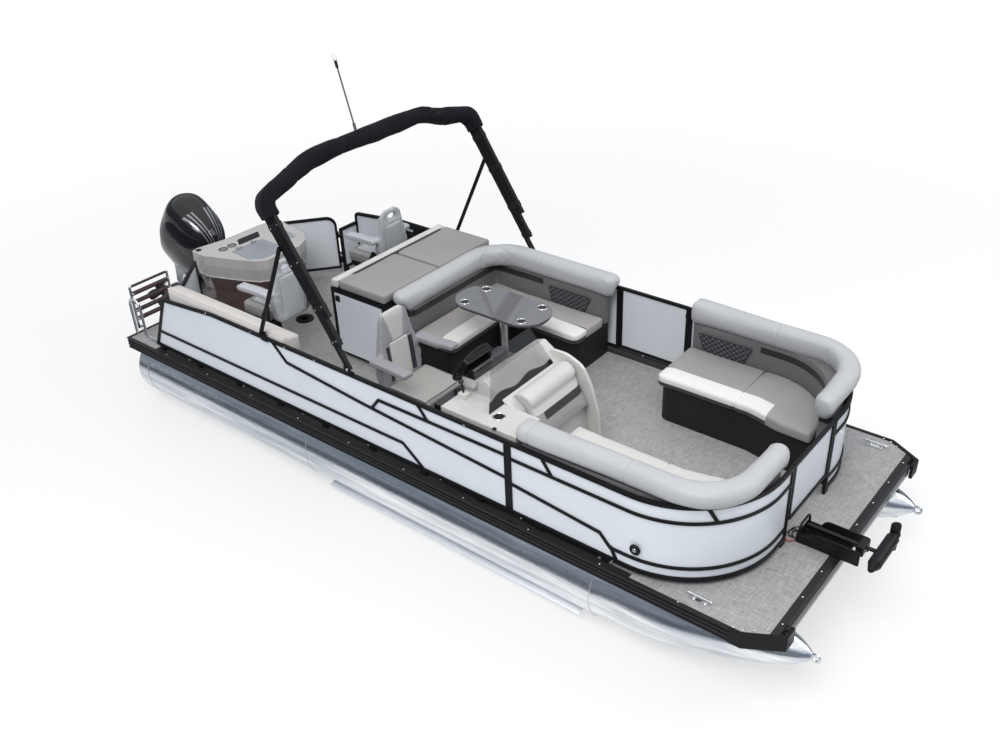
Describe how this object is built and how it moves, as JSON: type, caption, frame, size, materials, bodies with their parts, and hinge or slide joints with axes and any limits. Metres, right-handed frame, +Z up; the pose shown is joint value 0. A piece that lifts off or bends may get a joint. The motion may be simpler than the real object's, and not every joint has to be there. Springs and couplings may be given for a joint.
{
  "type": "pontoon boat",
  "caption": "pontoon fishing boat with folded canopy, L-shaped lounge, bow lounges, helm, swivel chairs, tilted outboard and bow trolling motor",
  "frame": {"origin": "centre of the overall length and beam, on the ground under the keels", "axes": "+X to the bow, +Y to port, +Z up"},
  "size_m": [8.5812, 2.59, 3.5155],
  "materials": {
    "pontoons": "brushed",
    "deck_frame": "mill",
    "motor_pod": "mill",
    "deck": "woven vinyl, grey",
    "rub_rails": "ribbed black",
    "bow_channel": "black on top, bare front",
    "corner_castings": "satin black",
    "fence_frames": "satin black powder coat",
    "fence_panels": "gloss white",
    "cleats": "polished",
    "stern_console": "light beige moulding",
    "livewell_lid": "grey",
    "side_cover_pad": "light beige vinyl",
    "cabinet": "black frame",
    "cabinet_door": "gloss white",
    "cabinet_pads": "grey vinyl",
    "lounge_bases": "charcoal brown",
    "lounge_seats": "warm grey vinyl",
    "lounge_backs": "mid grey vinyl",
    "lounge_bolsters": "light grey vinyl",
    "table_top": "grey gloss",
    "table_leg": "satin",
    "helm_console": "ivory moulding",
    "console_pads": "ivory vinyl",
    "windscreen": "smoked",
    "steering_wheel": "black",
    "throttle_lever": "black",
    "chair_pedestals": "satin black",
    "helm_chair_frame": "dark shell",
    "helm_chair_cushions": "ivory and grey vinyl",
    "port_chair_frame": "dark shell",
    "port_chair_cushions": "light grey vinyl",
    "starboard_chair_frame": "dark shell",
    "starboard_chair_cushions": "light grey vinyl",
    "port_gate_frame": "satin black",
    "port_gate_panel": "gloss white",
    "bow_gate_frame": "satin black",
    "bow_gate_panel": "gloss white",
    "stern_gate_frame": "satin black",
    "stern_gate_panel": "gloss white",
    "boarding_ladder": "polished",
    "ladder_fittings": "polished",
    "bimini_mounts": "satin black",
    "bimini_arch": "satin black square tube",
    "bimini_boot": "black woven cloth",
    "bimini_brace_starboard": "satin black",
    "bimini_brace_port": "satin black",
    "light_pole": "grey",
    "outboard_clamp_bracket": "satin black",
    "outboard_swivel_bracket": "satin black",
    "outboard_cowl": "gloss black",
    "outboard_skirt": "grey",
    "outboard_leg": "dark grey",
    "outboard_propeller": "black",
    "trolling_motor_base": "satin black",
    "trolling_motor_bracket": "black",
    "trolling_motor_shaft": "black composite",
    "trolling_motor_unit": "black",
    "trolling_propeller": "black",
    "foot_pedal": "black"
  },
  "bodies": {
    "hull": {"pontoons": "pontoons", "deck_frame": "deck_frame", "motor_pod": "motor_pod", "deck": "deck", "rub_rails": "rub_rails", "bow_channel": "bow_channel", "corner_castings": "corner_castings", "fence_frames": "fence_frames", "fence_panels": "fence_panels", "cleats": "cleats", "stern_console": "stern_console", "side_cover_pad": "side_cover_pad", "cabinet": "cabinet", "cabinet_pads": "cabinet_pads", "lounge_bases": "lounge_bases", "lounge_seats": "lounge_seats", "lounge_backs": "lounge_backs", "lounge_bolsters": "lounge_bolsters", "table_top": "table_top", "table_leg": "table_leg", "helm_console": "helm_console", "console_pads": "console_pads", "windscreen": "windscreen", "throttle_lever": "throttle_lever", "chair_pedestals": "chair_pedestals", "ladder_fittings": "ladder_fittings", "bimini_mounts": "bimini_mounts", "outboard_clamp_bracket": "outboard_clamp_bracket", "trolling_motor_base": "trolling_motor_base", "foot_pedal": "foot_pedal"},
    "outboard_swivel": {"outboard_swivel_bracket": "outboard_swivel_bracket"},
    "outboard_motor": {"outboard_cowl": "outboard_cowl", "outboard_skirt": "outboard_skirt", "outboard_leg": "outboard_leg"},
    "outboard_propeller_body": {"outboard_propeller": "outboard_propeller"},
    "wheel": {"steering_wheel": "steering_wheel"},
    "helm_chair": {"helm_chair_frame": "helm_chair_frame", "helm_chair_cushions": "helm_chair_cushions"},
    "port_chair": {"port_chair_frame": "port_chair_frame", "port_chair_cushions": "port_chair_cushions"},
    "starboard_chair": {"starboard_chair_frame": "starboard_chair_frame", "starboard_chair_cushions": "starboard_chair_cushions"},
    "port_gate": {"port_gate_frame": "port_gate_frame", "port_gate_panel": "port_gate_panel"},
    "bow_gate": {"bow_gate_frame": "bow_gate_frame", "bow_gate_panel": "bow_gate_panel"},
    "stern_gate": {"stern_gate_frame": "stern_gate_frame", "stern_gate_panel": "stern_gate_panel"},
    "cabinet_door_body": {"cabinet_door": "cabinet_door"},
    "livewell_lid_body": {"livewell_lid": "livewell_lid"},
    "ladder": {"boarding_ladder": "boarding_ladder"},
    "bimini_top": {"bimini_arch": "bimini_arch", "bimini_boot": "bimini_boot", "light_pole": "light_pole"},
    "brace_port": {"bimini_brace_port": "bimini_brace_port"},
    "brace_starboard": {"bimini_brace_starboard": "bimini_brace_starboard"},
    "trolling_mount": {"trolling_motor_bracket": "trolling_motor_bracket"},
    "trolling_shaft": {"trolling_motor_shaft": "trolling_motor_shaft", "trolling_motor_unit": "trolling_motor_unit"},
    "trolling_prop": {"trolling_propeller": "trolling_propeller"}
  },
  "joints": [
    {"name": "outboard_tilt", "type": "hinge", "parent": "hull", "child": "outboard_swivel", "pos_m": [-3.32735, 0, 0.685], "axis": [0, 1, 0], "range_deg": [-35, 30]},
    {"name": "outboard_steer", "type": "hinge", "parent": "outboard_swivel", "child": "outboard_motor", "pos_m": [-3.38879, 0, 0.72802], "axis": [0.5736, 0, 0.8192], "range_deg": [-30, 30]},
    {"name": "outboard_propeller_spin", "type": "hinge", "parent": "outboard_motor", "child": "outboard_propeller_body", "pos_m": [-4.11305, 0, 0.29516], "axis": [0.8192, 0, -0.5736], "continuous": true},
    {"name": "steering_wheel_turn", "type": "hinge", "parent": "hull", "child": "wheel", "pos_m": [1.17267, -0.74, 1.575], "axis": [-0.866, 0, 0.5], "range_deg": [-540, 540]},
    {"name": "helm_chair_swivel", "type": "hinge", "parent": "hull", "child": "helm_chair", "pos_m": [0.62763, -0.74, 1.045], "axis": [0, 0, 1], "continuous": true},
    {"name": "port_chair_swivel", "type": "hinge", "parent": "hull", "child": "port_chair", "pos_m": [-1.39118, 0.802, 1.045], "axis": [0, 0, 1], "continuous": true},
    {"name": "starboard_chair_swivel", "type": "hinge", "parent": "hull", "child": "starboard_chair", "pos_m": [-1.39118, -0.55, 1.045], "axis": [0, 0, 1], "continuous": true},
    {"name": "port_gate_swing", "type": "hinge", "parent": "hull", "child": "port_gate", "pos_m": [1.95862, 1.197, 0.805], "axis": [0, 0, 1], "range_deg": [0, 90]},
    {"name": "bow_gate_swing", "type": "hinge", "parent": "hull", "child": "bow_gate", "pos_m": [3.59765, -0.32802, 0.93], "axis": [0, 0, 1], "range_deg": [0, 90]},
    {"name": "stern_gate_swing", "type": "hinge", "parent": "hull", "child": "stern_gate", "pos_m": [-2.11702, 0.95842, 0.805], "axis": [0, 0, -1], "range_deg": [0, 85]},
    {"name": "cabinet_door_swing", "type": "hinge", "parent": "hull", "child": "cabinet_door_body", "pos_m": [-0.22634, -0.31, 0.795], "axis": [0, 0, 1], "range_deg": [0, 110]},
    {"name": "livewell_lid_open", "type": "hinge", "parent": "hull", "child": "livewell_lid_body", "pos_m": [-2.21535, 0, 1.465], "axis": [0, -1, 0], "range_deg": [0, 80]},
    {"name": "ladder_fold", "type": "hinge", "parent": "hull", "child": "ladder", "pos_m": [-2.89235, 0, 0.758], "axis": [0, -1, 0], "range_deg": [0, 175]},
    {"name": "bimini_fold", "type": "hinge", "parent": "hull", "child": "bimini_top", "pos_m": [0.32267, 0, 1.46], "axis": [0, -1, 0], "range_deg": [-33, 42]},
    {"name": "bimini_brace_port_fold", "type": "hinge", "parent": "hull", "child": "brace_port", "pos_m": [-0.68733, 1.258, 1.46], "axis": [0, 1, 0], "range_deg": [0, 60]},
    {"name": "bimini_brace_starboard_fold", "type": "hinge", "parent": "hull", "child": "brace_starboard", "pos_m": [-0.68733, -1.258, 1.46], "axis": [0, 1, 0], "range_deg": [0, 60]},
    {"name": "trolling_motor_deploy", "type": "hinge", "parent": "hull", "child": "trolling_mount", "pos_m": [4.11265, -0.18, 0.828], "axis": [0, 1, 0], "range_deg": [0, 90]},
    {"name": "trolling_motor_depth", "type": "slide", "parent": "trolling_mount", "child": "trolling_shaft", "axis": [1, 0, 0], "range_m": [0, 0.3]},
    {"name": "trolling_propeller_spin", "type": "hinge", "parent": "trolling_shaft", "child": "trolling_prop", "pos_m": [4.24465, 0.01, 0.86], "axis": [0, 1, 0], "continuous": true}
  ]
}
